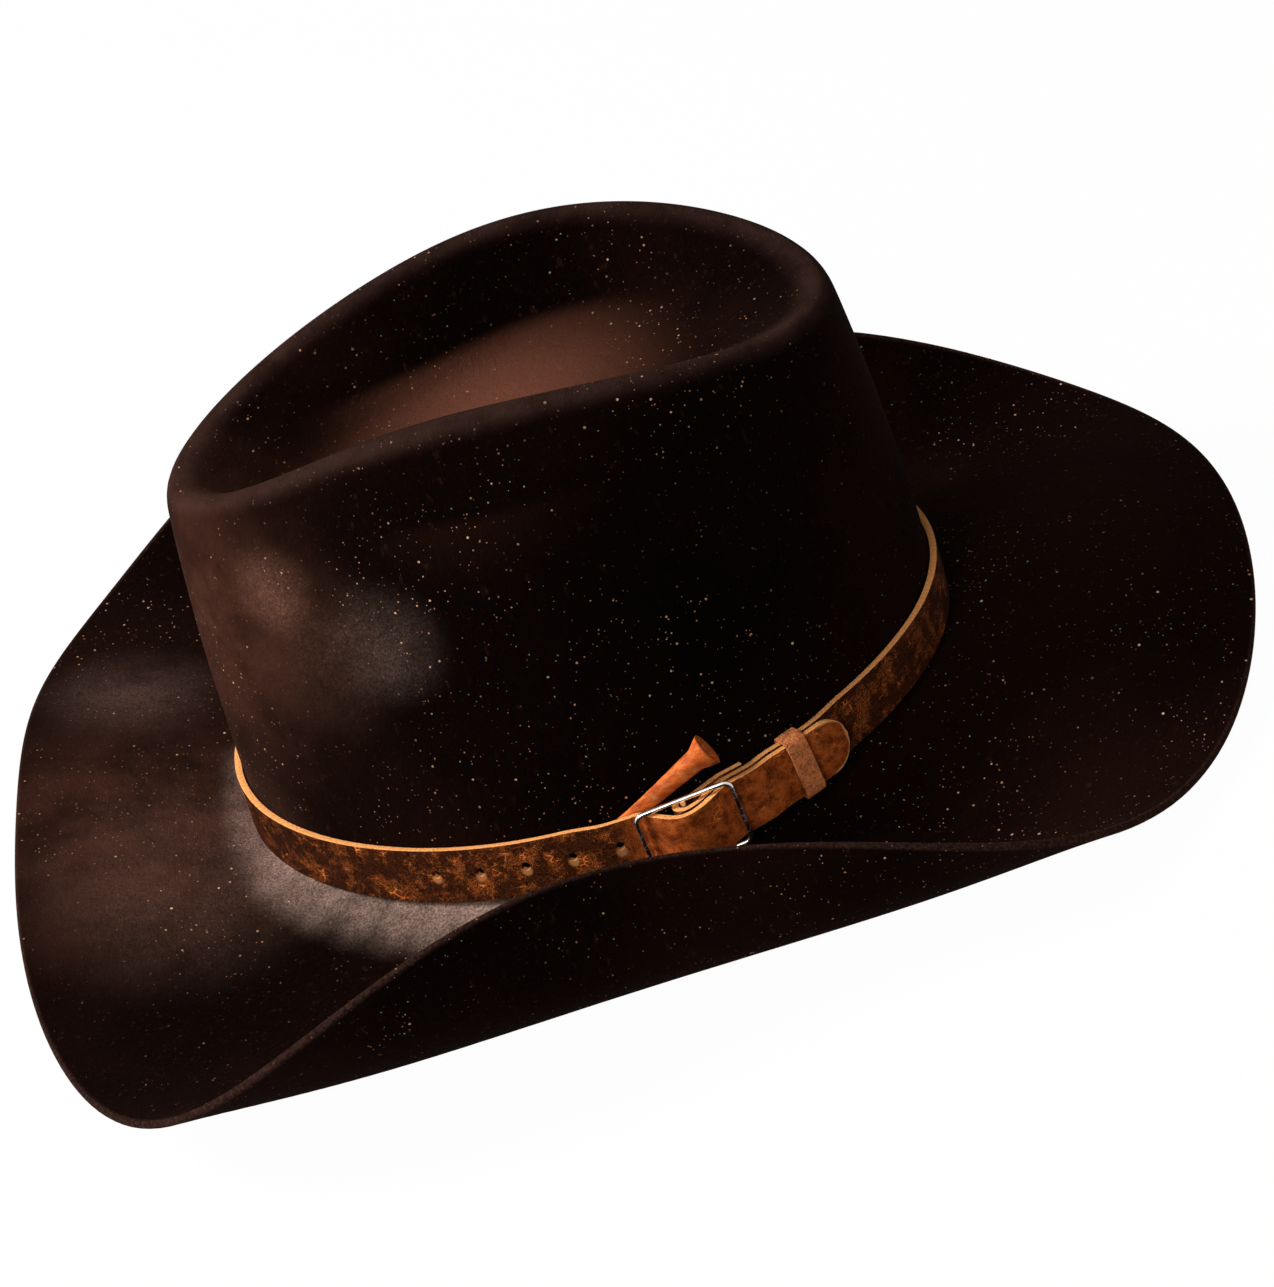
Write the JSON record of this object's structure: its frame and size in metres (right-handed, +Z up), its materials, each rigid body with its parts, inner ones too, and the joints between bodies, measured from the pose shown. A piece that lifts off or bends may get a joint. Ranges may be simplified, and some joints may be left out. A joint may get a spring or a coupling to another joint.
{
  "type": "western hat",
  "caption": "Western felt hat with a deep dished crown, a rolled wide brim, a strap band with a wire buckle and keeper, a tucked peg, a sweatband and a lining",
  "frame": {"origin": "centre of the bounding box at the height the hat rests on, under its brim's lowest folds", "axes": "+Z up, -X towards the front of the hat, +X towards its back, +Y towards the wearer's right, -Y towards the wearer's left, where the buckle is"},
  "size_m": [0.3751, 0.3206, 0.1575],
  "materials": {
    "hat_felt": "matte wool felt with a soft dusty nap, dark brown",
    "band_leather": "dark crackled leather with tan raw edges",
    "nickel_wire": "bright nickel-plated round wire",
    "keeper_suede": "fuzzy pinkish-tan suede",
    "waxed_thread": "waxed thread",
    "peg_wood": "rust-orange stained, worn",
    "sweatband_leather": "smooth brown leather",
    "reed_tape_cloth": "woven tape",
    "reed_plastic": "covered plastic reed",
    "cotton_thread": "cotton thread",
    "bow_ribbon": "ribbed ribbon",
    "lining_satin": "smooth satin",
    "lining_cord": "twisted piping cord"
  },
  "bodies": {
    "hat": {"felt_body": "hat_felt", "band_strap": "band_leather", "fold_stitches": "waxed_thread", "sweatband": "sweatband_leather", "reed_tape": "reed_tape_cloth", "sweatband_reed": "reed_plastic", "sweatband_stitching": "cotton_thread", "sweatband_seam_stitches": "cotton_thread", "sweatband_bow": "bow_ribbon", "lining_side": "lining_satin", "lining_tip": "lining_satin", "lining_piping": "lining_cord"},
    "buckle": {"buckle_frame": "nickel_wire", "buckle_centre_bar": "nickel_wire"},
    "keeper": {"band_keeper": "keeper_suede"},
    "peg": {"tucked_peg": "peg_wood"}
  },
  "joints": [
    {"name": "buckle_tilt", "type": "hinge", "parent": "hat", "child": "buckle", "pos_m": [0.01481, -0.08964, 0.03115], "axis": [-0.0393, 0.1826, 0.9824], "range_deg": [-2, 2]},
    {"name": "keeper_slide", "type": "slide", "parent": "hat", "child": "keeper", "axis": [0.8741, 0.4857, 0], "range_m": [-0.0025, 0.0025]},
    {"name": "peg_pull", "type": "slide", "parent": "hat", "child": "peg", "axis": [0.9042, 0.1087, 0.4129], "range_m": [0, 0.01]}
  ]
}
